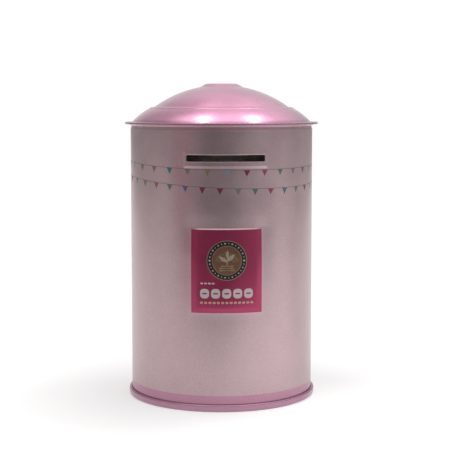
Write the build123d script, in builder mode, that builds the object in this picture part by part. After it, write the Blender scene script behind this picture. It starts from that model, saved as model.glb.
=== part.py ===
"""Tin money box: a round tinplate canister with a coin slot and a domed lift-off lid.

Millimetres. +Z is up and the coin slot faces -Y. The origin is the centre of the ring that the
tin stands on. Sheet-metal sections are drawn as the middle line of the sheet, as (radius, height)
pairs, and traced at the thickness of the sheet.
"""

import os
from math import cos, degrees, radians, sin

from build123d import *

os.makedirs("parts", exist_ok=True)

# ---- driving dimensions ----
sheet = 0.3                 # tinplate thickness of every piece
half_sheet = sheet / 2
body_radius = 42.0          # outside of the wall
total_height = 144.0        # standing ring to the flat top of the lid

# base seam
seam_height = 3.2
seam_gap = 0.14             # between the five layers of the double seam
hook_bend = 0.43            # middle-line radius of the folded hooks
tuck_bend = 0.2             # where the seam turns down against the wall
hook_overlap_low = 1.2      # tip of the cover hook
hook_overlap_high = 2.3     # tip of the body hook

# mouth of the wall
mouth_height = 125.77       # crest of the rolled edge
curl_radius = 0.5           # outside radius of the rolled edge
curl_centre_radius = 41.75
curl_end_angle = -50.0      # where the rolled edge stops, below level on its outer side
neck_length = 2.0           # from the start of the neck to the middle of the rolled edge
neck_taper = 1.2            # height over which the wall draws in
neck_bend = 2.0

# lid
hem_radius = 44.6           # outer edge of the lid
hem_bottom = 125.4
hem_top = 126.5
hem_inner_radius = 43.2     # where the hem's folded edge ends
plug_clearance = 0.1        # radial, inside the rolled mouth
plug_bottom = 119.0
plug_flange_inset = 0.6     # the plug ring's flange stops this far inside the hem
plug_bend = 0.5
plug_lead_in = (0.7, 0.6)   # the plug ring's lower edge turns in, radius by height
hem_bend = 0.26             # middle-line radius of the folded edge
crown_radius = 53.0         # pressed crown, a part of a sphere
crown_apex = 143.35         # where the crown's sphere would meet the axis
step_radius = 31.0          # pressed step round the crown
skirt_radius = 32.0         # arc between the step and the flange
step_foot_radius = 32.15
boss_top_radius = 7.0
boss_foot_radius = 10.0
flange_inner_radius = 41.25
flange_bend = 0.9
step_foot_bend = 0.8
step_top_bend = 0.6
boss_foot_bend = 1.2
boss_edge_bend = 0.5

# coin slot and its raised surround
slot_half_width = 17.0      # half of the straight width across the opening
slot_low = 110.0
slot_high = 112.8
slot_corner = 0.4
lip_depth = 1.2             # how far the lips turn in from the outside face
surround_half_angle = 26.1
surround_low = 106.9
surround_high = 115.3
surround_bevels = (1.2, 1.2, 1.1)   # width of the lower, upper and side slopes
surround_height = 0.2

# raised label panel
label_turn = 0.5            # the panel's middle, in degrees from the front towards +X
label_half_angle = 21.7
label_low = 43.8
label_high = 81.1
label_bevels = (2.1, 0.8, 2.8)
label_height = 0.55

# base end
panel_height = 3.1          # middle line of the flat centre
groove_height = 4.3         # middle line of the groove beside the chuck wall
chuck_taper = 0.3           # the chuck wall leans in by this
groove_width = 1.3
bead_rise = 0.5
bead_radii = (33.0, 25.0)
bead_half_top = 0.5
bead_half_foot = 1.5
bead_bend = 0.8
end_bend = 0.5              # the other bends of the base end

# side seam
lap_half_width = 0.6
lap_height = 0.12
lap_margin = 0.4            # kept clear of the base seam
lap_top_margin = 0.2        # kept clear of the neck


def round_corner(path, corner, radius):
    """Rounds the corner of a path that lies nearest to a point."""
    fillet(path.vertices().sort_by_distance(corner)[0], radius=radius)


def front_point(radius, angle):
    """A point in plan, at an angle in degrees from the front, -Y."""
    return (radius * sin(radians(angle)), -radius * cos(radians(angle)))


def raised_panel(base_radius, half_angle, low, high, bevels, height, turn=0.0):
    """A panel pushed out of a cylinder, with sloping sides that meet in mitres.

    Its middle is 'turn' degrees from the front towards +X.
    """
    low_bevel, high_bevel, side_bevel = bevels
    root = base_radius - half_sheet
    crest = base_radius + height
    crest_angle = half_angle - degrees(side_bevel / base_radius)
    with BuildPart() as panel:
        with BuildSketch(Plane.YZ):
            with BuildLine():
                Polyline(
                    (root, low),
                    (base_radius, low),
                    (crest, low + low_bevel),
                    (crest, high - high_bevel),
                    (base_radius, high),
                    (root, high),
                    close=True,
                )
            make_face()
        revolve(axis=Axis.Z)
        with BuildSketch(Plane.XY.offset(low)):
            with BuildLine():
                Polyline(
                    (0, 0),
                    front_point(base_radius, -half_angle),
                    front_point(crest, -crest_angle),
                    front_point(2 * crest, -crest_angle),
                    front_point(2 * crest, crest_angle),
                    front_point(crest, crest_angle),
                    front_point(base_radius, half_angle),
                    close=True,
                )
            make_face()
        extrude(amount=high - low, mode=Mode.INTERSECT)
    return panel.part.rotate(Axis.Z, turn)


# ---- radii of the seam's layers, from the inside out ----
wall_middle = body_radius - half_sheet
wall_inside = body_radius - sheet
chuck_middle = wall_inside - seam_gap - half_sheet
cover_hook_middle = body_radius + seam_gap + half_sheet
body_hook_middle = cover_hook_middle + sheet + seam_gap
seam_middle = body_hook_middle + sheet + seam_gap

# ---- body wall: one rolled sheet ----
body_hook_bottom = sheet + seam_gap + half_sheet
curl_middle = curl_radius - half_sheet
curl_centre_height = mouth_height - curl_radius
curl_inner = curl_centre_radius - curl_middle
curl_end = (
    curl_centre_radius + curl_middle * cos(radians(curl_end_angle)),
    curl_centre_height + curl_middle * sin(radians(curl_end_angle)),
)
curl_crest = (curl_centre_radius, mouth_height - half_sheet)
neck_height = curl_centre_height - neck_length
neck_top = neck_height + neck_taper

lap_bottom = seam_height + lap_margin
lap_top = neck_height - lap_top_margin

label_recess = raised_panel(
    wall_inside, label_half_angle, label_low, label_high, label_bevels, label_height, label_turn
)
label_panel = raised_panel(
    body_radius, label_half_angle, label_low, label_high, label_bevels, label_height, label_turn
)
surround_recess = raised_panel(
    wall_inside, surround_half_angle, surround_low, surround_high, surround_bevels, surround_height
)
surround_panel = raised_panel(
    body_radius, surround_half_angle, surround_low, surround_high, surround_bevels, surround_height
)

with BuildPart() as slot_lips:
    with BuildSketch(Plane.XZ.offset(body_radius / 2)):
        with Locations((0, (slot_low + slot_high) / 2)):
            RectangleRounded(
                2 * (slot_half_width + sheet),
                slot_high - slot_low + 2 * sheet,
                slot_corner + sheet,
            )
    extrude(amount=body_radius)
    with BuildSketch(Plane.XY.offset(surround_low)):
        Circle(body_radius + surround_height - half_sheet)
        Circle(body_radius + surround_height - lip_depth, mode=Mode.SUBTRACT)
    extrude(amount=surround_high - surround_low, mode=Mode.INTERSECT)

with BuildPart() as body_wall:
    with BuildSketch(Plane.YZ):
        with BuildLine() as wall_path:
            Polyline(
                (body_hook_middle, hook_overlap_high),
                (body_hook_middle, body_hook_bottom),
                (wall_middle, body_hook_bottom),
                (wall_middle, neck_height),
                (curl_inner, neck_top),
                (curl_inner, curl_centre_height),
            )
            ThreePointArc((curl_inner, curl_centre_height), curl_crest, curl_end)
            round_corner(wall_path, (body_hook_middle, body_hook_bottom), hook_bend)
            round_corner(wall_path, (wall_middle, body_hook_bottom), hook_bend)
            round_corner(wall_path, (wall_middle, neck_height), neck_bend)
            round_corner(wall_path, (curl_inner, neck_top), neck_bend)
        trace(line_width=sheet)
    revolve(axis=Axis.Z)
    add(label_panel)
    add(surround_panel)
    add(label_recess, mode=Mode.SUBTRACT)
    add(surround_recess, mode=Mode.SUBTRACT)
    # the lapped side seam, down the back
    with BuildSketch(Plane.XY.offset(lap_bottom)):
        with Locations((0, wall_middle)):
            Rectangle(2 * lap_half_width, sheet + 2 * lap_height)
    extrude(amount=lap_top - lap_bottom)
    # the coin slot, with its edges turned in
    add(slot_lips.part)
    with BuildSketch(Plane.XZ.offset(body_radius / 2)):
        with Locations((0, (slot_low + slot_high) / 2)):
            RectangleRounded(2 * slot_half_width, slot_high - slot_low, slot_corner)
    extrude(amount=body_radius, mode=Mode.SUBTRACT)
body_wall.part.label = "body_wall"
export_step(body_wall.part, "parts/body_wall.step")

# ---- base end: a pressed disc, seamed to the wall ----
groove_outside = chuck_middle - chuck_taper
groove_inside = groove_outside - groove_width
panel_edge = groove_inside - chuck_taper
bead_crest = panel_height + bead_rise

with BuildPart() as base_end:
    with BuildSketch(Plane.YZ):
        with BuildLine() as end_path:
            Polyline(
                (cover_hook_middle, hook_overlap_low),
                (cover_hook_middle, seam_height - half_sheet),
                (seam_middle, seam_height - half_sheet),
                (seam_middle, half_sheet),
                (chuck_middle, half_sheet),
                (groove_outside, groove_height),
                (groove_inside, groove_height),
                (panel_edge, panel_height),
                (bead_radii[0] + bead_half_foot, panel_height),
                (bead_radii[0] + bead_half_top, bead_crest),
                (bead_radii[0] - bead_half_top, bead_crest),
                (bead_radii[0] - bead_half_foot, panel_height),
                (bead_radii[1] + bead_half_foot, panel_height),
                (bead_radii[1] + bead_half_top, bead_crest),
                (bead_radii[1] - bead_half_top, bead_crest),
                (bead_radii[1] - bead_half_foot, panel_height),
                (0, panel_height),
            )
            round_corner(end_path, (cover_hook_middle, seam_height - half_sheet), tuck_bend)
            round_corner(end_path, (seam_middle, seam_height - half_sheet), hook_bend)
            round_corner(end_path, (seam_middle, half_sheet), end_bend)
            round_corner(end_path, (chuck_middle, half_sheet), end_bend)
            round_corner(end_path, (groove_outside, groove_height), end_bend)
            round_corner(end_path, (groove_inside, groove_height), end_bend)
            round_corner(end_path, (panel_edge, panel_height), end_bend)
            for bead_radius in bead_radii:
                for side in (-1, 1):
                    foot = (bead_radius + bead_half_foot * side, panel_height)
                    crest = (bead_radius + bead_half_top * side, bead_crest)
                    round_corner(end_path, foot, bead_bend)
                    round_corner(end_path, crest, bead_bend)
        trace(line_width=sheet)
    revolve(axis=Axis.Z)
base_end.part.label = "base_end"
export_step(base_end.part, "parts/base_end.step")

# ---- lid dome: one pressing, its edge folded under as a hem ----
hem_edge = hem_radius - half_sheet
flange_middle = hem_top - half_sheet
crown_centre_height = crown_apex - crown_radius
crown_middle = crown_radius - half_sheet


def crown_point(radius):
    """A point of the crown's middle line."""
    return (radius, crown_centre_height + (crown_middle**2 - radius**2) ** 0.5)


skirt_foot = (flange_inner_radius, flange_middle)
step_outside = (step_foot_radius, crown_point(step_radius)[1])
step_inside = crown_point(step_radius)
boss_foot = crown_point(boss_foot_radius)
boss_edge = (boss_top_radius, total_height - half_sheet)

with BuildPart() as lid_dome:
    with BuildSketch(Plane.YZ):
        with BuildLine() as dome_path:
            Polyline(
                (hem_inner_radius, hem_bottom + half_sheet),
                (hem_edge, hem_bottom + half_sheet),
                (hem_edge, flange_middle),
                skirt_foot,
            )
            RadiusArc(skirt_foot, step_outside, -skirt_radius)
            Line(step_outside, step_inside)
            RadiusArc(step_inside, boss_foot, -crown_middle)
            Polyline(boss_foot, boss_edge, (0, total_height - half_sheet))
            round_corner(dome_path, (hem_edge, hem_bottom + half_sheet), hem_bend)
            round_corner(dome_path, (hem_edge, flange_middle), hem_bend)
            round_corner(dome_path, skirt_foot, flange_bend)
            round_corner(dome_path, step_outside, step_foot_bend)
            round_corner(dome_path, step_inside, step_top_bend)
            round_corner(dome_path, boss_foot, boss_foot_bend)
            round_corner(dome_path, boss_edge, boss_edge_bend)
        trace(line_width=sheet)
    revolve(axis=Axis.Z)
lid_dome.part.label = "lid_dome"
export_step(lid_dome.part, "parts/lid_dome.step")

# ---- lid plug ring: a flanged strip held in the hem, which plugs the mouth ----
plug_middle = curl_centre_radius - curl_radius - plug_clearance - half_sheet
plug_flange_height = (hem_bottom + hem_top) / 2

with BuildPart() as lid_plug_ring:
    with BuildSketch(Plane.YZ):
        with BuildLine() as plug_path:
            Polyline(
                (hem_radius - plug_flange_inset, plug_flange_height),
                (plug_middle, plug_flange_height),
                (plug_middle, plug_bottom + plug_lead_in[1]),
                (plug_middle - plug_lead_in[0], plug_bottom),
            )
            round_corner(plug_path, (plug_middle, plug_flange_height), plug_bend)
            round_corner(plug_path, (plug_middle, plug_bottom + plug_lead_in[1]), plug_bend)
        trace(line_width=sheet)
    revolve(axis=Axis.Z)
lid_plug_ring.part.label = "lid_plug_ring"
export_step(lid_plug_ring.part, "parts/lid_plug_ring.step")
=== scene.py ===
"""Looks of a tin money box: a printed canister with a coin slot, a raised label and a domed lid.

Every sheet-metal piece is rebuilt at a finer grain than its CAD node and stands for it. The inks
are thin shells laid on the tin. Lengths are in millimetres until a mesh is made, and angles round
the tin are in degrees from the front, -Y, towards +X.
"""

import math
import random
from collections import namedtuple

import bmesh
import bpy
import numpy as np
from mathutils import Euler, Matrix, Vector


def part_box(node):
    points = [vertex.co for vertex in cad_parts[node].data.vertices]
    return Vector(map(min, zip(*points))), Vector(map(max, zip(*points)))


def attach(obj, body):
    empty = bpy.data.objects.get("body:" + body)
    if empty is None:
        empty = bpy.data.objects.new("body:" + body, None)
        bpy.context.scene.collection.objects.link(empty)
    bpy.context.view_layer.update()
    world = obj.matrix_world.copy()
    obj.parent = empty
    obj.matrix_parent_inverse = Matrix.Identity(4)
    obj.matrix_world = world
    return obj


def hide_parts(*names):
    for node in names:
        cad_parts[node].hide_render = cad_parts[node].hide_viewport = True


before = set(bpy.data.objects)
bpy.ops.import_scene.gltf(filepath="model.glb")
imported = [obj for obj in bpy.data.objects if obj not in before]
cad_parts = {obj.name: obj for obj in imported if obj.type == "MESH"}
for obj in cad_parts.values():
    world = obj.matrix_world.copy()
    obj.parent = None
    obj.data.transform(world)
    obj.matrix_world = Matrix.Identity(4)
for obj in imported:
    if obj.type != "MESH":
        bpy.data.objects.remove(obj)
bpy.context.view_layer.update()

MM = 0.001
rng = random.Random(11)

# ---- sizes of the tin, as in its CAD parts ----
sheet = 0.3
half_sheet = sheet / 2
body_radius = 42.0          # the wall's outer face
lid_low, lid_high = (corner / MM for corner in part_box("lid_dome"))
base_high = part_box("base_end")[1] / MM
wall_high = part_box("body_wall")[1] / MM
plug_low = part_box("lid_plug_ring")[0] / MM

# radii and heights of the middle of each sheet, unless a name says otherwise
seam_radius = base_high.x - half_sheet
hook_radius = wall_high.x - half_sheet
cover_hook_radius = hook_radius - 0.5
wall_radius = body_radius - half_sheet
chuck_gap = 0.14
chuck_radius = body_radius - sheet - chuck_gap - half_sheet
mouth_height = wall_high.z
curl_outer = 0.5
curl_radius = curl_outer - half_sheet
curl_centre = (41.75, mouth_height - curl_outer)
neck_height = curl_centre[1] - 2.0
hem_radius = lid_high.x              # outer faces of the folded rim
hem_bottom = lid_low.z
hem_height = 1.1
flange_height = hem_bottom + hem_height - half_sheet
lid_top = lid_high.z - half_sheet
boss_rise = 0.65
crown_outer = 53.0
crown_radius = crown_outer - half_sheet
crown_centre = lid_high.z - boss_rise - crown_outer
plug_gap = 0.1
plug_radius = curl_centre[0] - curl_outer - plug_gap - half_sheet

# raised panels of the wall: 'turn' is the angle of the middle, and each slope is the width of a bevel
Panel = namedtuple("Panel", "turn half_angle low high low_slope high_slope side_slope rise")
label = Panel(0.5, 21.7, 43.8, 81.1, 2.1, 0.8, 2.8, 0.55)
surround = Panel(0.0, 26.1, 106.9, 115.3, 1.2, 1.2, 1.1, 0.2)
fold_turns = (-0.36, -0.12, 0.12, 0.36)      # degrees: columns of the mesh beside a panel's folds
fold_lifts = (-0.24, -0.08, 0.08, 0.24)      # rows beside a panel's folds
slot_centre = 111.4
slot_half = (17.0, 1.4)
slot_corner = 0.4
lip_depth = 1.2
patch_angle = 24.95         # the slot's rings join the wall's grid here
patch_half_height = 2.1
straight_angle = math.degrees(math.asin((slot_half[0] - slot_corner) / (body_radius + surround.rise)))
between_angle = 23.7        # a column between the slot's end and the patch's
lap_angle = 0.82
lap_height = 0.12
lap_edge = 0.2              # degrees over which the lap's thickness fades
lap_low, lap_high, lap_fade = 3.6, 122.9, 0.4
lap_columns = (179.49, 179.27, 179.11, 178.93)       # columns of the mesh on each side of the front
lap_rows = (3.5, 3.7, 4.0, 122.5, 122.8, 123.0)      # rows of the mesh near the ends of the lap
draw_depth, draw_reach = 0.34, 3.4                   # of the wall above the label


# ---- shape of the wall ----
def rounded_step(t, soft=0.12):
    """Rises from 0 to 1 as t does, with rounded corners."""
    def bend(x):
        return np.where(x > soft, x, np.where(x < -soft, 0.0, (x + soft) ** 2 / (4 * soft)))
    return bend(t) - bend(t - 1)


def panel_height(panel, angle, height):
    """How far a raised panel lifts the wall."""
    side = np.radians(panel.half_angle - np.abs(angle - panel.turn)) * body_radius / panel.side_slope
    low_side, high_side = (height - panel.low) / panel.low_slope, (panel.high - height) / panel.high_slope
    low_or_high = rounded_step(np.minimum(low_side, high_side))
    return panel.rise * np.minimum(rounded_step(side, soft=0.4), low_or_high)


def drawn_in(panel, angle, height, depth, reach, side_reach=4.0, reach_below=8.0):
    """How far the wall is drawn in about the top edge of a raised panel."""
    across = np.maximum(np.radians(np.abs(angle - panel.turn) - panel.half_angle) * body_radius, 0)
    above = height - panel.high
    glow_with_painted_shade = np.hypot(across / side_reach, above / np.where(above > 0, reach, reach_below))
    return depth * np.exp(-glow_with_painted_shade**2)


def push(angle, height):
    """How far the wall stands out from its cylinder."""
    angle, height = np.asarray(angle, float), np.asarray(height, float)
    raised = panel_height(label, angle, height) + panel_height(surround, angle, height)
    return raised - drawn_in(label, angle, height, draw_depth, draw_reach)


def lap(angle, height):
    """Half of the extra thickness at the side seam."""
    from_seam = 180 - np.abs(np.asarray(angle, float))
    along = np.minimum(height - lap_low, lap_high - height) / lap_fade
    return lap_height * rounded_step(np.minimum((lap_angle - from_seam) / lap_edge + 1, along))


def on_wall(angle, height, lift):
    """Points on the outside of the wall, lifted off it."""
    radius = body_radius + push(angle, height) + lap(angle, height) + lift
    turn = np.radians(angle)
    return np.stack([radius * np.sin(turn), -radius * np.cos(turn), height + 0 * radius], -1)


# ---- sections of folded sheet ----
line_spacing = 0.02         # of the close points that lines are worked out in


def bent_line(corners, arc=12):
    """The middle line through (radius, height, bend radius) corners, as close points."""
    points = [np.array(corners[0][:2], float)]
    for before, corner, after in zip(corners, corners[1:], corners[2:]):
        here = np.array(corner[:2], float)
        back = np.array(before[:2], float) - here
        on = np.array(after[:2], float) - here
        back /= np.linalg.norm(back)
        on /= np.linalg.norm(on)
        bend = corner[2]
        half = math.acos(max(-1, min(1, back @ on))) / 2
        if bend == 0 or half > math.pi / 2 - 1e-4:
            points.append(here)
            continue
        middle = (back + on) / np.linalg.norm(back + on)
        centre = here + middle * bend / math.sin(half)
        start = here + back * bend / math.tan(half) - centre
        sweep = math.pi - 2 * half
        side = np.sign(back[0] * on[1] - back[1] * on[0])
        for step in range(arc + 1):
            turn = -side * sweep * step / arc
            c, s = math.cos(turn), math.sin(turn)
            points.append(centre + np.array([c * start[0] - s * start[1], s * start[0] + c * start[1]]))
    points.append(np.array(corners[-1][:2], float))
    return even_points(np.array(points))


def even_points(points):
    """The same line as points at the line spacing."""
    along = np.concatenate([[0], np.cumsum(np.linalg.norm(np.diff(points, axis=0), axis=1))])
    count = max(8, int(along[-1] / line_spacing))
    at = np.linspace(0, along[-1], count)
    return np.stack([np.interp(at, along, points[:, i]) for i in (0, 1)], -1)


def blur(values, width):
    """Gaussian blur along a line of close points; width is in points."""
    reach = max(1, int(3 * width))
    kernel = np.exp(-0.5 * (np.arange(-reach, reach + 1) / width) ** 2)
    kernel /= kernel.sum()
    first, last = values[0], values[-1]
    lead = 2 * first - values[reach:0:-1]
    tail = 2 * last - values[-2:-reach - 2:-1]
    padded = np.concatenate([lead, values, tail])
    if values.ndim == 1:
        return np.convolve(padded, kernel, "valid")
    return np.stack([np.convolve(padded[:, i], kernel, "valid") for i in range(values.shape[1])], -1)


def section(points, turn, longest=2.0):
    """Fewer points, closer together where the line bends: about 'turn' degrees apart in a bend and
    'longest' apart elsewhere. The rows are radius, height, and the normal on the line's left."""
    step = np.gradient(points, axis=0)
    heading = blur(np.unwrap(np.arctan2(step[:, 1], step[:, 0])), 0.06 / line_spacing)
    bending = np.abs(np.gradient(heading)) / math.radians(turn)
    density = blur(bending, 0.12 / line_spacing) + line_spacing / longest
    filled = np.cumsum(density)
    filled -= filled[0]
    count = int(math.ceil(filled[-1])) + 1
    at = np.interp(np.linspace(0, filled[-1], count), filled, np.arange(len(filled)))
    where = np.arange(len(points))
    columns = [np.interp(at, where, points[:, 0]), np.interp(at, where, points[:, 1])]
    angle = np.interp(at, where, heading)
    return np.stack(columns + [-np.sin(angle), np.cos(angle)], -1)


def skins(line, outside):
    """The two faces of a sheet: outside is 1 where its outer face is on the line's left."""
    normal = line[:, 2:] * outside
    return line[:, :2] + normal * half_sheet, line[:, :2] - normal * half_sheet


def edge_cap(centre, inward, across):
    """Points round the rolled-over edge of a sheet, from the side 'across' to the other side."""
    turns = np.radians((35, 65, 90, 115, 145))
    return [centre + half_sheet * (math.cos(a) * across - math.sin(a) * inward) for a in turns]


def end_caps(line, outer, inner):
    """The rolled-over edges at the end of a sheet's line and at its start."""
    last = (line[-1, :2] - line[-2, :2]) / np.linalg.norm(line[-1, :2] - line[-2, :2])
    first = (line[1, :2] - line[0, :2]) / np.linalg.norm(line[1, :2] - line[0, :2])
    at_end = edge_cap(line[-1, :2], -last, (outer[-1] - line[-1, :2]) / half_sheet)
    at_start = edge_cap(line[0, :2], first, (inner[0] - line[0, :2]) / half_sheet)
    return at_end, at_start


# ---- meshes ----
def make_object(name, points, faces, zones, materials, body, stands_for=(), sharp=None):
    """A smooth mesh that rides on a body; zones are the material numbers of its faces."""
    mesh = bpy.data.meshes.new(name)
    mesh.from_pydata((np.asarray(points) * MM).tolist(), [], faces)
    for material in materials:
        mesh.materials.append(material)
    mesh.polygons.foreach_set("material_index", np.asarray(zones, np.int32))
    built = bmesh.new()
    built.from_mesh(mesh)
    bmesh.ops.recalc_face_normals(built, faces=built.faces)
    built.to_mesh(mesh)
    built.free()
    mesh.polygons.foreach_set("use_smooth", [True] * len(mesh.polygons))
    if sharp is not None:
        mesh.set_sharp_from_angle(angle=math.radians(sharp))
    made = bpy.data.objects.new(name, mesh)
    bpy.context.scene.collection.objects.link(made)
    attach(made, body)
    if stands_for:
        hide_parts(*stands_for)


on_axis = 1e-3      # a smaller radius is taken for a point on the axis


def ring_faces(first, second, zone, faces, zones):
    """Faces between two rings of vertex numbers; a ring of one is a point on the axis."""
    count = max(len(first), len(second))
    for i in range(count):
        j = (i + 1) % count
        if len(first) == 1:
            faces.append((first[0], second[j], second[i]))
        elif len(second) == 1:
            faces.append((first[i], first[j], second[0]))
        else:
            faces.append((first[i], first[j], second[j], second[i]))
        zones.append(zone)


def turned_sheet(name, line, outside, materials, body, stands_for, columns=256):
    """A sheet turned round the axis. Its first material is the outer face's, its second the inner's."""
    outer, inner = skins(line, outside)
    at_end, at_start = end_caps(line, outer, inner)
    ends_on_axis = line[-1][0] < on_axis
    rows = list(outer) + ([] if ends_on_axis else at_end) + list(inner[::-1]) + at_start
    turns = np.radians(np.arange(columns) * 360 / columns)
    points, rings = [], []
    for radius, height in rows:
        first = len(points)
        if radius < on_axis:
            points.append((0, 0, height))
            rings.append([first])
        else:
            points += [(radius * math.sin(t), -radius * math.cos(t), height) for t in turns]
            rings.append(list(range(first, first + columns)))
    faces, zones = [], []
    for i, ring in enumerate(rings):
        after = rings[(i + 1) % len(rings)]
        if len(ring) == 1 and len(after) == 1:
            continue
        zone = 0 if i + 1 < len(outer) else 1
        ring_faces(ring, after, zone, faces, zones)
    make_object(name, points, faces, zones, materials, body, stands_for)


def with_features(base, features, clearance):
    """Even values with the features put in, and the even ones beside them left out."""
    kept = [v for v in base if all(abs(v - f) > clearance for f in features)]
    return np.array(sorted(set(kept) | set(features)))


def wall_columns():
    """Angles of the wall's columns: even ones, and more at the slot, the panels and the lap."""
    marks = [straight_angle, between_angle, patch_angle, *lap_columns]
    marks += [-m for m in marks]
    for panel in (label, surround):
        slope = math.degrees(panel.side_slope / body_radius)
        for edge in (panel.half_angle, panel.half_angle - slope):
            for shift in fold_turns:
                marks += [panel.turn + edge + shift, panel.turn - edge - shift]
    marks = [m for m in marks if abs(abs(m) - patch_angle) > 0.1] + [-patch_angle, patch_angle]
    return with_features(np.arange(-180, 180, 1.5), marks, clearance=0.22)


def wall_heights():
    """Heights of the wall's rows, in the same way."""
    marks = []
    for panel in (label, surround):
        for edge in (panel.low, panel.low + panel.low_slope, panel.high - panel.high_slope, panel.high):
            marks += [edge + shift for shift in fold_lifts]
    core = slot_half[1] - slot_corner
    for shift in (patch_half_height, (patch_half_height + slot_half[1]) / 2, slot_half[1], core):
        marks += [slot_centre - shift, slot_centre + shift]
    marks += [slot_centre, *lap_rows]
    return with_features(np.arange(4.0, 122.0, 3.0), marks, clearance=0.8)


def slot_rings():
    """(offset from the slot's edge, depth) of rings from the outer face to the inner one."""
    around = 0.42       # the first ring and the last lie in the faces of the wall
    rings = [(around, 0.0), (sheet, 0.0)]
    rings += [
        (sheet - sheet * math.sin(a), sheet - sheet * math.cos(a)) for a in np.radians((22, 45, 68, 90))
    ]
    rings += [(0.0, 0.7), (0.0, lip_depth - half_sheet)]
    rings += [
        (half_sheet - half_sheet * math.cos(a), lip_depth - half_sheet + half_sheet * math.sin(a))
        for a in np.radians((45, 90, 135, 180))
    ]
    rings += [(sheet, 0.55), (0.33, 0.4), (around, sheet)]
    return rings


def slot_point(angle, height, offset):
    """Where the line in from a point on the patch's border meets a ring round the slot: across, and
    height."""
    flat = slot_half[0] - slot_corner
    core = slot_half[1] - slot_corner
    bend = slot_corner + offset
    side = math.copysign(1, angle)
    lift = height - slot_centre
    over = math.copysign(1, lift)
    if abs(abs(lift) - patch_half_height) < 1e-6 and abs(angle) <= straight_angle + 1e-6:
        across = (body_radius + surround.rise) * math.sin(math.radians(angle))
        return across, slot_centre + over * (core + bend)
    if abs(lift) <= core + 1e-6:
        return side * (flat + bend), height
    if abs(abs(lift) - patch_half_height) < 1e-6:
        turn = 90 - 45 * (abs(angle) - straight_angle) / (patch_angle - straight_angle)
    else:
        turn = 45 * (abs(lift) - core) / (patch_half_height - core)
    c, s = math.cos(math.radians(turn)), math.sin(math.radians(turn))
    return side * (flat + bend * c), slot_centre + over * (core + bend * s)


def make_wall(materials):
    """The rolled sheet: body hook, straight wall and rolled mouth, with the slot let in.

    Its rows run up the outer face, over the mouth's edge, down the inner face and round the hook.
    """
    hook_height, hook_bend = 0.59, 0.43
    hook = section(bent_line([
        (hook_radius, 2.3, 0),
        (hook_radius, hook_height, hook_bend),
        (wall_radius, hook_height, hook_bend),
        (wall_radius, 3.4, 0),
    ]), turn=14)
    turns = np.radians(np.linspace(180, -50, 60))
    roll = curl_centre + curl_radius * np.stack([np.cos(turns), np.sin(turns)], -1)
    neck = bent_line([
        (wall_radius, neck_height - 0.08, 0),
        (wall_radius, neck_height, 2.0),
        (curl_centre[0] - curl_radius, neck_height + 1.2, 2.0),
        (curl_centre[0] - curl_radius, curl_centre[1], 0),
    ])
    mouth = section(even_points(np.concatenate([neck, roll[1:]])), turn=12)
    heights = wall_heights()
    straight = np.array([(wall_radius, height, -1, 0) for height in heights])
    line = np.concatenate([hook, straight, mouth])
    is_straight = [0] * len(hook) + [1] * len(heights) + [0] * len(mouth)
    outer, inner = skins(line, -1)
    at_end, at_start = end_caps(line, outer, inner)
    rows = [(p, s, 1) for p, s in zip(outer, is_straight)]
    rows += [(p, 0, 0) for p in at_end]
    inner_start = len(rows)
    roll_rows = int(np.sum(mouth[:, 1] > curl_centre[1]))
    rows += [(p, s, -1) for p, s in zip(inner[::-1], is_straight[::-1])]
    rows += [(p, 0, 0) for p in at_start]
    angles = wall_columns()
    count = len(angles)
    turns = np.radians(angles)
    points = []
    for (radius, height), moved, face in rows:
        ring = np.full(count, radius)
        if moved:
            ring = ring + push(angles, height) + face * lap(angles, height)
        points += np.stack([ring * np.sin(turns), -ring * np.cos(turns), np.full(count, height)], -1).tolist()
    hair = 1e-6
    low, high = slot_centre - patch_half_height, slot_centre + patch_half_height

    def in_patch(row, column):
        """Whether a face of the grid lies where the slot's rings go instead."""
        near, far = rows[row], rows[(row + 1) % len(rows)]
        if not (near[1] and far[1]):
            return False
        bottom, top = sorted((near[0][1], far[0][1]))
        inside = low - hair <= bottom and top <= high + hair
        left, right = angles[column], angles[(column + 1) % count]
        return inside and -patch_angle - hair <= left < right <= patch_angle + hair

    faces, zones = [], []
    for row in range(len(rows)):
        after = (row + 1) % len(rows)
        zone = 0 if after < inner_start + roll_rows else 1
        for column in range(count):
            if in_patch(row, column):
                continue
            here, there = row * count, after * count
            beside = (column + 1) % count
            faces.append((here + column, here + beside, there + beside, there + column))
            zones.append(zone)

    patch_columns = [i for i, a in enumerate(angles) if abs(a) <= patch_angle + hair]

    def border(face):
        """Vertex numbers round the patch, with the angle and height of each."""
        used = [
            i for i, (p, moved, side) in enumerate(rows)
            if moved and side == face and low - hair <= p[1] <= high + hair
        ]
        used.sort(key=lambda i: rows[i][0][1])
        loop = [(used[0], c) for c in patch_columns]
        loop += [(r, patch_columns[-1]) for r in used[1:]]
        loop += [(used[-1], c) for c in patch_columns[-2::-1]]
        loop += [(r, patch_columns[0]) for r in used[-2:0:-1]]
        return [(r * count + c, angles[c], rows[r][0][1]) for r, c in loop]

    outside, inside = border(1), border(-1)
    before = [v for v, _, _ in outside]
    printed = True      # the ink ends near the lip's edge
    for offset, depth in slot_rings():
        ring = []
        for _, angle, height in outside:
            across, up = slot_point(angle, height, offset)
            radius = body_radius + surround.rise - depth
            ring.append(len(points))
            points.append((across, -math.sqrt(radius**2 - across**2), up))
        ring_faces(before, ring, 0 if printed else 1, faces, zones)
        printed = printed and depth < lip_depth - 0.2
        before = ring
    ring_faces(before, [v for v, _, _ in inside], 1, faces, zones)
    make_object("canister_wall", points, faces, zones, materials, "tin", ["body_wall"])


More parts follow.
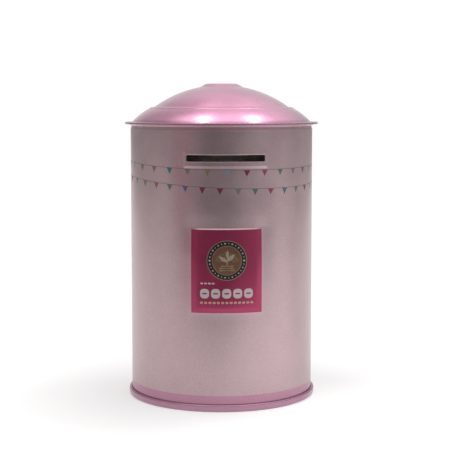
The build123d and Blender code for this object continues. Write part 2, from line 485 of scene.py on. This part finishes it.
# ---- inks: thin shells on the wall ----
class Print:
    """Patches of ink gathered into one piece. Places are (millimetres across, height).

    The ink's top stands off the wall by 'lift'. 'middle' is where the places' zero lies, across.
    """

    sunk = 0.015        # the ink's underside lies this deep in the wall

    def __init__(self, lift, middle=0.0):
        self.lift, self.middle = lift, middle
        self.points, self.faces, self.inks = [], [], []

    def patch(self, places, faces, ink):
        first = len(self.points)
        self.points += [tuple(p) for p in places]
        self.faces += [tuple(first + i for i in face) for face in faces]
        self.inks += [ink] * len(faces)

    def band(self, outlines, ink, closed=True):
        """Faces between outlines of equal length."""
        count = len(outlines[0])
        faces = []
        for k in range(len(outlines) - 1):
            for i in range(count if closed else count - 1):
                j = (i + 1) % count
                faces.append((k * count + i, k * count + j, (k + 1) * count + j, (k + 1) * count + i))
        self.patch([p for outline in outlines for p in outline], faces, ink)

    def blob(self, outline, ink, rings=3):
        """A filled shape, with rings drawn towards its middle."""
        outline = np.asarray(outline, float)
        middle = outline.mean(0)
        count = len(outline)
        places = [middle]
        for k in range(1, rings + 1):
            places += list(middle + (outline - middle) * k / rings)
        faces = [(0, 1 + i, 1 + (i + 1) % count) for i in range(count)]
        for k in range(rings - 1):
            a, b = 1 + k * count, 1 + (k + 1) * count
            faces += [(a + i, a + (i + 1) % count, b + (i + 1) % count, b + i) for i in range(count)]
        self.patch(places, faces, ink)

    def ribbon(self, line, width, ink):
        """A strip along a line, of one width or of one at each point."""
        line = np.asarray(line, float)
        step = np.gradient(line, axis=0)
        side = np.stack([-step[:, 1], step[:, 0]], -1) / np.linalg.norm(step, axis=1)[:, None]
        width = np.asarray(width, float) / 2
        reach = side * (width[:, None] if width.ndim else width)
        self.band([line - reach, line + reach], ink, closed=False)

    def make(self, name, inks):
        """One closed shell round each patch; patches that share points are joined."""
        places, order = np.unique(np.round(self.points, 6), axis=0, return_inverse=True)
        order = order.ravel().tolist()
        printed = [tuple(order[i] for i in face) for face in self.faces]
        angles = np.degrees((places[:, 0] + self.middle) / body_radius)
        count = len(places)
        top = on_wall(angles, places[:, 1], self.lift)
        under = on_wall(angles, places[:, 1], -self.sunk)
        faces = printed + [tuple(count + i for i in face[::-1]) for face in printed]
        zones = self.inks * 2
        edges = {}
        for face, ink in zip(printed, self.inks):
            for a, b in zip(face, face[1:] + face[:1]):
                edges.setdefault((min(a, b), max(a, b)), []).append((a, b, ink))
        for found in edges.values():
            if len(found) == 1:
                a, b, ink = found[0]
                faces.append((b, a, count + a, count + b))
                zones.append(ink)
        points = np.concatenate([top, under])
        make_object(name, points, faces, zones, inks, "tin", sharp=50)


def circle(centre, radius, count):
    turns = np.radians(np.arange(count) * 360 / count)
    return np.stack([centre[0] + radius * np.cos(turns), centre[1] + radius * np.sin(turns)], -1)


def rounded_box(centre, half, bend, arc=6):
    """A rectangle with rounded corners, with points along its sides too."""
    points = []
    for side, over, first in ((1, 1, 0), (-1, 1, 90), (-1, -1, 180), (1, -1, 270)):
        for step in range(arc + 1):
            turn = math.radians(first + 90 * step / arc)
            points.append((
                centre[0] + side * (half[0] - bend) + bend * math.cos(turn),
                centre[1] + over * (half[1] - bend) + bend * math.sin(turn),
            ))
    return np.array(points)


def leaf(base, tip, belly, count=14):
    """A leaf's outline between two points, wider by 'belly' on each side."""
    base, tip = np.array(base, float), np.array(tip, float)
    along = tip - base
    side = np.array([-along[1], along[0]]) / np.linalg.norm(along)
    t = np.linspace(0, 1, count)
    bulge = belly * np.sin(np.pi * t**0.8)
    up = [base + along * a + side * b for a, b in zip(t, bulge)]
    down = [base + along * a - side * b for a, b in zip(t[-2:0:-1], bulge[-2:0:-1])]
    return np.array(up + down)


# ---- materials ----
def node(tree, kind, inputs=None, **settings):
    """A shader node; an input is a socket to link from or a value to set."""
    made = tree.nodes.new("ShaderNode" + kind)
    for key, value in settings.items():
        setattr(made, key, value)
    for key, value in (inputs or {}).items():
        if isinstance(value, bpy.types.NodeSocket):
            tree.links.new(value, made.inputs[key])
        else:
            made.inputs[key].default_value = value
    return made


def maths(tree, operation, first, second=0.0):
    return node(tree, "Math", {0: first, 1: second}, operation=operation).outputs[0]


def from_axis(tree, across, depth):
    """Distance from the tin's axis."""
    squares = [maths(tree, "MULTIPLY", value, value) for value in (across, depth)]
    return maths(tree, "SQRT", maths(tree, "ADD", *squares))


def mapped(tree, value, low, high, to_low=0.0, to_high=1.0):
    """A smooth step of the value between two limits."""
    inputs = {"Value": value, "From Min": low, "From Max": high, "To Min": to_low, "To Max": to_high}
    return node(tree, "MapRange", inputs, interpolation_type="SMOOTHSTEP").outputs[0]


def mixed(tree, factor, first, second, blend="MIX"):
    inputs = {0: factor, 6: first, 7: second}
    return node(tree, "Mix", inputs, data_type="RGBA", blend_type=blend).outputs[2]


def grey(tree, level):
    return node(tree, "CombineColor", {0: level, 1: level, 2: level}).outputs[0]


def noise(tree, where, scale, detail=2.0, stretch=(1, 1, 1)):
    if stretch != (1, 1, 1):
        where = node(tree, "Mapping", {"Vector": where, "Scale": stretch}).outputs[0]
    return node(tree, "TexNoise", {"Vector": where, "Scale": scale, "Detail": detail}).outputs[0]


def tone(colour, factor=1.0):
    """A colour with alpha, lightened or darkened."""
    return tuple(min(1.0, c * factor) for c in colour[:3]) + (1.0,)


speckle_size, cloud_size = 0.45, 9.0
rough_spread = 0.02


def finish(name, colour, metallic, roughness, speckle, cloud, grain=(1, 1, 1), bump=0.015, coat=0.0,
           zones=None):
    """A painted or bare metal: a base colour broken up by fine speckle and soft clouding."""
    material = bpy.data.materials.new(name)
    material.use_nodes = True
    tree = material.node_tree
    shader = tree.nodes["Principled BSDF"]
    where = node(tree, "TexCoord").outputs["Object"]
    fine = noise(tree, where, 1 / MM / speckle_size, 2.0, grain)
    broad = noise(tree, where, 1 / MM / cloud_size, 3.0)
    base = zones(tree, where, colour) if zones else tone(colour)
    specks = mapped(tree, fine, 0.3, 0.7, 1 - speckle, 1 + speckle)
    clouds = mapped(tree, broad, 0.3, 0.7, 1 - cloud, 1 + cloud)
    both = maths(tree, "MULTIPLY", specks, clouds)
    tree.links.new(mixed(tree, 1.0, base, grey(tree, both), "MULTIPLY"), shader.inputs["Base Color"])
    rough = mapped(tree, broad, 0.3, 0.7, roughness - rough_spread, roughness + rough_spread)
    tree.links.new(rough, shader.inputs["Roughness"])
    lumps = node(tree, "Bump", {"Strength": bump, "Distance": 0.0001, "Height": fine})
    tree.links.new(lumps.outputs[0], shader.inputs["Normal"])
    shader.inputs["Metallic"].default_value = metallic
    shader.inputs["Coat Weight"].default_value = coat
    shader.inputs["Coat Roughness"].default_value = 0.15
    return material


pearl = (0.48, 0.35, 0.372)
mauve = (0.46, 0.235, 0.325)
bare_tin = (0.62, 0.60, 0.57)

# where the print changes, and where the painted shade on the lid's rim starts, in metres, each from the start
# of a soft edge to its end
band_edge = (0.00698, 0.00714)
margin_edge = (0.0009, 0.0011)
rim_shade_edge = (0.0398, 0.0412)


def pearl_zones(tree, where, colour):
    """Mauve band at the foot, bare tin beside the side seam."""
    across, depth, height = node(tree, "SeparateXYZ", {0: where}).outputs
    band = mapped(tree, height, *band_edge, 1.0, 0.0)
    printed = mixed(tree, band, tone(colour), tone(mauve))
    near_seam = mapped(tree, maths(tree, "ABSOLUTE", across), *margin_edge, 1.0, 0.0)
    margin = maths(tree, "MULTIPLY", near_seam, maths(tree, "GREATER_THAN", depth, 0.0))
    return mixed(tree, margin, printed, tone(bare_tin, 0.78))


def lid_rim_painted_shade(tree, where, colour):
    """Painted shade: the lacquer's colour is darkened on the flange and the folded rim, standing in for the
    shade there.
    """
    across, depth, _ = node(tree, "SeparateXYZ", {0: where}).outputs
    rim_shade = mapped(tree, from_axis(tree, across, depth), *rim_shade_edge)
    # painted shade: the rim is given 0.58 of the lacquer's colour
    return mixed(tree, rim_shade, tone(colour), tone(colour, 0.58))


pearl_print = finish("pearl_print", pearl, 0.78, 0.3, 0.07, 0.03, zones=pearl_zones)
mauve_print = finish("mauve_print", (0.46, 0.24, 0.335), 0.65, 0.22, 0.05, 0.04)
# the lid's lacquer, with painted shade darkening its flange and folded rim
pink_lacquer = finish(
    "pink_lacquer", (0.76, 0.33, 0.50), 1.0, 0.28, 0.03, 0.03, bump=0.006, coat=1.0, zones=lid_rim_painted_shade
)
plain_tin = finish("plain_tin", bare_tin, 1.0, 0.3, 0.05, 0.08, grain=(1, 1, 0.15))
magenta_ink = finish("magenta_ink", (0.345, 0.039, 0.102), 0.6, 0.2, 0.05, 0.04)

ink_colours = {
    "olive": (0.22, 0.17, 0.095),
    "mustard": (0.26, 0.21, 0.11),
    "brick": (0.28, 0.11, 0.10),
    "crimson": (0.21, 0.035, 0.055),
    "rose": (0.29, 0.06, 0.10),
    "teal": (0.05, 0.17, 0.20),
    "green": (0.11, 0.17, 0.11),
    "sage": (0.19, 0.20, 0.16),
    "sky": (0.23, 0.31, 0.37),
    "blue": (0.09, 0.14, 0.25),
    "plum": (0.22, 0.10, 0.14),
    "grey": (0.23, 0.21, 0.21),
    "string": (0.20, 0.16, 0.165),
}
ink_names = list(ink_colours)
inks = [finish(n + "_ink", c, 0.55, 0.38, 0.06, 0.05) for n, c in ink_colours.items()]
dark_ink = finish("dark_ink", (0.022, 0.018, 0.02), 0.4, 0.35, 0.08, 0.05)
bronze_ink = finish("bronze_ink", (0.21, 0.105, 0.062), 0.8, 0.36, 0.12, 0.08)
gold_ink = finish("gold_ink", (0.34, 0.25, 0.17), 0.85, 0.34, 0.10, 0.08)
white_ink = finish("white_ink", (0.50, 0.43, 0.445), 0.3, 0.4, 0.03, 0.03)
cream_ink = finish("cream_ink", (0.40, 0.32, 0.25), 0.6, 0.38, 0.08, 0.05)
peach_ink = finish("peach_ink", (0.50, 0.27, 0.23), 0.3, 0.4, 0.04, 0.04)

# ---- the metal ----
make_wall([pearl_print, plain_tin])

seam_top, seam_chamfer = 3.05, 0.38
panel_floor = 3.1
countersink_top = 4.3
bead_top, bead_bend = 3.6, 0.8
beads = [
    (bead_centre + out, height, bead_bend)
    for bead_centre in (33.0, 25.0)
    for out, height in ((1.5, panel_floor), (0.5, bead_top), (-0.5, bead_top), (-1.5, panel_floor))
]
end_line = section(bent_line([
    (cover_hook_radius, 1.2, 0),
    (cover_hook_radius, seam_top, 0.03),
    (seam_radius - seam_chamfer, seam_top, 0.25),
    (seam_radius, seam_top - seam_chamfer, 0.25),
    (seam_radius, half_sheet, 0.95),
    (chuck_radius, half_sheet, 0.5),
    (chuck_radius - 0.3, countersink_top, 0.5),
    (chuck_radius - 1.6, countersink_top, 0.5),
    (chuck_radius - 1.9, panel_floor, 0.5),
    *beads,
    (0, panel_floor, 0),
]), turn=12, longest=5)
turned_sheet("base_disc", end_line, 1, [mauve_print, plain_tin], "tin", ["base_end"])


def crown_height(radius):
    """Height of the lid's crown, a piece of a sphere."""
    return crown_centre + math.sqrt(crown_radius**2 - radius**2)


def bowed(start, end, radius, count=40):
    """An arc from start to end that bows out and up."""
    start, end = np.array(start, float), np.array(end, float)
    chord = end - start
    length = np.linalg.norm(chord)
    side = np.array([chord[1], -chord[0]]) / length
    rise = radius - math.sqrt(radius**2 - length**2 / 4)
    t = np.linspace(0, 1, count)
    x = (t - 0.5) * length
    lift = np.sqrt(radius**2 - x**2) - (radius - rise)
    return start + t[:, None] * chord + lift[:, None] * side


hem_middle = hem_bottom + hem_height / 2
hem_bend = 0.26
flange_outer = (44.0, flange_height)
flange_inner = (41.25, flange_height)
step_radius, step_rise = 31.0, 0.55
skirt_bow = 32.0
step_inner = (step_radius, crown_height(step_radius))
step_outer = (32.6, step_inner[1])
step_foot = (33.15, step_inner[1] - step_rise)
boss_foot = (10.0, crown_height(10.0))
boss_edge = (7.0, lid_top)
pressed = np.concatenate([
    [flange_outer, flange_inner],
    bowed(flange_inner, step_foot, skirt_bow)[1:],
    [step_outer],
    bowed(step_inner, boss_foot, crown_radius),
    [boss_edge, (0, lid_top)],
])
pressed = blur(even_points(pressed), 0.34 / line_spacing)
pressed[-1, 0] = 0
hem = bent_line([
    (43.2, hem_bottom + half_sheet, 0),
    (hem_radius - half_sheet, hem_bottom + half_sheet, hem_bend),
    (hem_radius - half_sheet, flange_height, hem_bend),
    (*flange_outer, 0),
])
dome_line = section(even_points(np.concatenate([hem[:-1], pressed])), turn=5, longest=1.2)
dome_line[-1, 0] = 0
turned_sheet(
    "domed_lid", dome_line, -1, [pink_lacquer, plain_tin], "lid", ["lid_dome"],
    columns=288,
)

plug_line = section(bent_line([
    (hem_radius - 0.6, hem_middle, 0),
    (plug_radius, hem_middle, 0.5),
    (plug_radius, plug_low.z + 0.6, 0.5),
    (plug_radius - 0.7, plug_low.z, 0),
]), turn=12, longest=3)
turned_sheet(
    "plug_ring", plug_line, -1, [plain_tin, plain_tin], "lid", ["lid_plug_ring"]
)

# ---- the garlands ----
seam_margin = 1.3           # of bare tin on each side of the seam
string_width = 0.24
pennant_width, pennant_drop, pennant_spread, pennant_lean = 3.0, 2.8, 0.15, 0.18
ground_lift, mark_lift, top_lift = 0.02, 0.035, 0.05      # how far inks stand off the wall


def garland(name, lowest, swing, turned, first, spacing, count, shown, swell):
    """A string of pennants round the tin, lowest at the angle 'turned'.

    The pennants start at the angle 'first'; 'shown' are the inks of the first ones, and 'swell' is
    how far, in degrees, they are shifted from even places.
    """
    def height_at(across):
        return lowest + swing * (1 - math.cos(across / body_radius - math.radians(turned)))

    print_ = Print(ground_lift)
    edge = math.degrees(seam_margin / body_radius)
    line_places = np.radians(np.linspace(-180 + edge, 180 - edge, 240)) * body_radius
    print_.ribbon([(across, height_at(across)) for across in line_places], string_width,
                  ink_names.index("string"))
    palette = [n for n in ink_names if n != "string"]
    previous = None
    for i in range(count):
        angle = first + spacing * i
        angle += swell * (0.9 + math.cos(math.radians(2 * (angle - 7))))
        if i < len(shown):
            ink = shown[i]
        else:
            ink = rng.choice([n for n in palette if n != previous])
        previous = ink
        angle = (angle + 180) % 360 - 180
        if 180 - abs(angle) < 4:
            continue
        across = math.radians(angle) * body_radius
        width = pennant_width + rng.uniform(-pennant_spread, pennant_spread)
        drop = pennant_drop + rng.uniform(-pennant_spread, pennant_spread)
        lean = rng.uniform(-pennant_lean, pennant_lean)
        left, right = across - width / 2, across + width / 2
        corners = np.array([
            (left, height_at(left)), (right, height_at(right)), (across + lean, height_at(across) - drop)
        ])
        places = list(corners) + [
            (corners[0] + corners[1]) / 2, (corners[1] + corners[2]) / 2, (corners[2] + corners[0]) / 2
        ]
        print_.patch(places, [(0, 3, 5), (3, 1, 4), (5, 3, 4), (5, 4, 2)], ink_names.index(ink))
    print_.make(name, inks)


upper_shown = ["olive", "brick", "teal", "sage", "mustard", "sky", "crimson", "rose", "green", "sage",
               "plum", "grey"]
lower_shown = ["sage", "olive", "brick", "green", "blue", "crimson", "crimson", "sage", "green", "rose",
               "teal", "green", "crimson"]
garland("garland_upper", lowest=106.35, swing=2.0, turned=19.0, first=-60.25, spacing=11.61, count=31,
        shown=upper_shown, swell=1.7)
garland("garland_lower", lowest=98.15, swing=3.2, turned=28.0, first=-67.05, spacing=10.59, count=34,
        shown=lower_shown, swell=0.0)

# ---- the label ----
label_middle = math.radians(label.turn) * body_radius
label_ink = Print(ground_lift, label_middle)
label_columns = [a for a in wall_columns() if abs(a - label.turn) < label.half_angle]
label_rows = [h for h in wall_heights() if label.low < h < label.high - label.high_slope + 0.3]
label_ink.band([
    [(math.radians(angle - label.turn) * body_radius, height) for angle in label_columns]
    for height in label_rows
], 0, closed=False)
label_ink.make("label_print", [magenta_ink])

# the badge, from the middle out: bronze field, gold line, dark border, gold line
badge_centre = np.array((0.0, 67.1))
field_radius, inner_line, outer_line, badge_radius = 6.25, 6.5, 8.45, 8.75
badge = Print(mark_lift, label_middle)
badge.band([circle(badge_centre, r, 72) for r in (inner_line, 7.1, 7.8, outer_line)], 0)
badge.band([circle(badge_centre, r, 72) for r in (outer_line, badge_radius)], 1)
badge.blob(circle(badge_centre, field_radius, 72), 2, rings=5)
badge.band([circle(badge_centre, r, 72) for r in (field_radius, inner_line)], 1)
badge.make("badge_disc", [dark_ink, gold_ink, bronze_ink])

# plain beads round the border, large and small in turn, with a lozenge at each side
bead_ring = 7.5
lozenge, large_bead, small_bead = 0.5, 0.32, 0.22
marks = Print(top_lift, label_middle)
for place, bead_centre in enumerate(circle(badge_centre, bead_ring, 30)):
    if place in (0, 15):
        marks.blob(circle(bead_centre, lozenge, 4), 0, rings=1)
    else:
        marks.blob(circle(bead_centre, small_bead if place % 2 else large_bead, 10), 0, rings=1)
marks.make("badge_beads", [white_ink])

# the sprout: rays above, ground below, then a stem with three leaves
motif = Print(top_lift, label_middle)
ray_middle = badge_centre - (0, 1.6)
for turn in range(20, 161, 10):
    c, s = math.cos(math.radians(turn)), math.sin(math.radians(turn))
    motif.ribbon([ray_middle + (r * c, r * s) for r in (2.6, 4.0, 5.4)], (0.10, 0.2, 0.3), 0)
for across, up, half in ((0.15, -4.3, 3.4), (-0.2, -3.35, 3.1), (0.1, -2.4, 2.7)):
    motif.blob(rounded_box(badge_centre + (across, up), (half, 0.38), 0.3), 0, rings=2)
stem = [badge_centre + (0.25 * math.sin(t), 3.1 * t - 2.0) for t in np.linspace(0, 1, 7)]
motif.ribbon(stem, 0.4, 1)
for base, tip, belly in (
    ((0, -0.6), (-3.7, 2.0), 0.85), ((0, -0.2), (3.6, 2.7), 0.9), ((0.2, 1.0), (0.3, 4.6), 0.7)
):
    motif.blob(leaf(badge_centre + base, badge_centre + tip, belly), 1, rings=3)
motif.make("badge_sprout", [gold_ink, cream_ink])

# five hollow tokens in a row
tokens_left, tokens_right, tokens_height = -11.6, 11.4, 52.6
token_width = 3.9
tokens = Print(mark_lift, label_middle)
for middle in np.linspace(tokens_left + token_width / 2, tokens_right - token_width / 2, 5):
    outline = rounded_box((middle, tokens_height), (token_width / 2, 2.1), 1.5)
    hollow = rounded_box((middle, tokens_height), (1.05, 0.32), 0.3)
    tokens.band([hollow, (outline + hollow) / 2, outline], 0)
tokens.make("label_tokens", [white_ink])

# rows of dashes above and below the tokens
dashes = Print(mark_lift, label_middle)
for k in range(4):
    dashes.blob(rounded_box((-10.9 + 1.65 * k, 57.05), (0.6, 0.36), 0.3), 0, rings=1)
for k in range(13):
    dashes.blob(rounded_box((-11.0 + 1.83 * k, 48.55), (0.66, 0.5), 0.35), 1, rings=1)
dashes.make("label_dashes", [white_ink, peach_ink])


# ---- floor, light and camera ----
def floor_sheet():
    """A pale sheet that glows a little, so that it runs out into the white behind it. Its glow is lower near
    the tin and under it, a painted shadow, and higher in a patch in front to the right, a painted pool of
    light.
    """
    mesh = bpy.data.meshes.new("floor")
    count = 25
    xs, ys = np.linspace(-0.8, 0.8, count), np.linspace(-0.27, 5, count)
    points = [(x, y, 0) for y in ys for x in xs]
    starts = [r * count + c for r in range(count - 1) for c in range(count - 1)]
    mesh.from_pydata(points, [], [(i, i + 1, i + count + 1, i + count) for i in starts])
    material = bpy.data.materials.new("floor_paper")
    material.use_nodes = True
    tree = material.node_tree
    shader = tree.nodes["Principled BSDF"]
    where = node(tree, "TexCoord").outputs["Object"]
    fibres = noise(tree, where, 300.0, 3.0)
    across, depth, _ = node(tree, "SeparateXYZ", {0: where}).outputs
    radius = from_axis(tree, across, depth)
    # painted shadow: the glow is lower near the tin and rises to its full level further out
    glow_with_painted_shade = mapped(tree, radius, 0.045, 0.12, 0.44, 0.58)
    # painted shadow: less glow right under the tin's seam
    painted_shadow_under_tin = mapped(tree, radius, 0.0418, 0.0434, 0.34, 0.0)       # it glows less under the tin
    glow_with_painted_shade = maths(tree, "SUBTRACT", glow_with_painted_shade, painted_shadow_under_tin)
    # painted light: a brighter patch of glow on the floor in front of the tin, to the right
    right = mapped(tree, across, -0.06, 0.10)
    near = mapped(tree, depth, -0.06, 0.03, 1.0, 0.0)
    painted_light_right_front = maths(tree, "MULTIPLY", maths(tree, "MULTIPLY", right, near), 0.32)
    tree.links.new(maths(tree, "ADD", glow_with_painted_shade, painted_light_right_front), shader.inputs["Emission Strength"])
    paper = mixed(tree, fibres, (0.56, 0.555, 0.55, 1), (0.58, 0.575, 0.57, 1))
    tree.links.new(paper, shader.inputs["Base Color"])
    shader.inputs["Roughness"].default_value = 0.9
    shader.inputs["Emission Color"].default_value = (1, 1, 1, 1)
    mesh.materials.append(material)
    made = bpy.data.objects.new("floor", mesh)
    bpy.context.scene.collection.objects.link(made)


floor_sheet()


def tent_world():
    """A pale studio with a dark room beyond its open front; seen directly it is plain white."""
    world = bpy.data.worlds.new("tent")
    bpy.context.scene.world = world
    world.use_nodes = True
    tree = world.node_tree
    background = tree.nodes["Background"]
    towards = node(tree, "TexCoord").outputs["Generated"]
    across, depth, up = node(tree, "SeparateXYZ", {0: towards}).outputs
    azimuth = maths(tree, "ARCTAN2", across, maths(tree, "MULTIPLY", depth, -1.0))     # 0 at the front
    elevation = maths(tree, "ARCSINE", up)
    turned = maths(tree, "ABSOLUTE", azimuth)

    def between(value, low, high, to_low=0.0, to_high=1.0):
        return mapped(tree, value, math.radians(low), math.radians(high), to_low, to_high)

    def times(first, second):
        return maths(tree, "MULTIPLY", first, second)

    def blend(factor, first, second):
        return node(tree, "Mix", {0: factor, 2: first, 3: second}, data_type="FLOAT").outputs[0]

    darker_right = between(azimuth, 58, 80, 0.0, 0.06)
    sides_low = maths(tree, "SUBTRACT", between(azimuth, -75, 60, 0.36, 0.47), darker_right)
    sides_high = between(azimuth, -60, 60, 0.48, 0.88)
    sides = blend(between(elevation, 10, 45), sides_low, sides_high)
    behind = between(elevation, 25, 65, 0.66, 0.88)
    level = blend(between(turned, 150, 170), sides, behind)
    # the dark room in front
    opening = times(between(azimuth, -47, -21), between(azimuth, 0, 43, 1.0, 0.0))
    opening = times(opening, between(elevation, 18, 52, 1.0, 0.0))
    level = blend(opening, level, 0.14)
    # a bright panel overhead
    overhead = maths(tree, "ADD", depth, times(maths(tree, "ABSOLUTE", across), -0.35))
    glow = times(mapped(tree, overhead, 0.12, 0.36, 1.0, 0.0), mapped(tree, up, 0.62, 0.85))
    beside = maths(tree, "ABSOLUTE", maths(tree, "SUBTRACT", across, 0.05))
    glow = times(glow, mapped(tree, beside, 0.40, 0.60, 1.0, 0.0))
    level = blend(glow, level, 1.4)
    # a pink cast low on the left
    pink = times(between(azimuth, -70, -58), between(azimuth, -46, -34, 1.0, 0.0))
    pink = times(pink, between(elevation, 10, 40, 1.0, 0.0))
    tint = mixed(tree, pink, (1, 1, 1, 1), (1.0, 0.62, 0.70, 1))
    lit = mixed(tree, 1.0, grey(tree, level), tint, "MULTIPLY")
    seen = node(tree, "LightPath").outputs["Is Camera Ray"]
    tree.links.new(mixed(tree, seen, lit, (1, 1, 1, 1)), background.inputs["Color"])
    background.inputs["Strength"].default_value = 1.0


tent_world()


def lamp(name, direction, distance, size, power, target=(0, 0, 0.1)):
    """A soft round light that looks at the tin."""
    light = bpy.data.lights.new(name, "AREA")
    light.shape = "DISK"
    light.size = size
    light.energy = power
    made = bpy.data.objects.new(name, light)
    made.location = Vector(target) + Vector(direction).normalized() * distance
    made.rotation_euler = (made.location - Vector(target)).to_track_quat("Z", "Y").to_euler()
    bpy.context.scene.collection.objects.link(made)


lamp("lamp_left", (-0.185, 0.08, 0.97), distance=0.85, size=0.105, power=0.38)
lamp("lamp_right", (0.337, 0.14, 0.93), distance=0.85, size=0.105, power=0.41)
lamp("lamp_inside", (0, 0.03, 0.12), distance=0.03, size=0.04, power=0.016, target=(0, 0.01, 0.03))

camera_data = bpy.data.cameras.new("camera")
camera = bpy.data.objects.new("camera", camera_data)
bpy.context.scene.collection.objects.link(camera)
camera_turn, camera_dip = math.radians(-2.95), math.radians(5.8)
camera_place = Vector((0.0028, -0.583, 0.1365))      # before it is turned about the tin's axis
camera_data.lens = 99.3
camera_data.sensor_width = 36.0
camera.location = Matrix.Rotation(camera_turn, 3, "Z") @ camera_place
camera.rotation_euler = Euler((math.pi / 2 - camera_dip, 0, camera_turn))
bpy.context.scene.camera = camera
bpy.context.scene.view_settings.view_transform = "Standard"
bpy.context.scene.view_settings.look = "None"
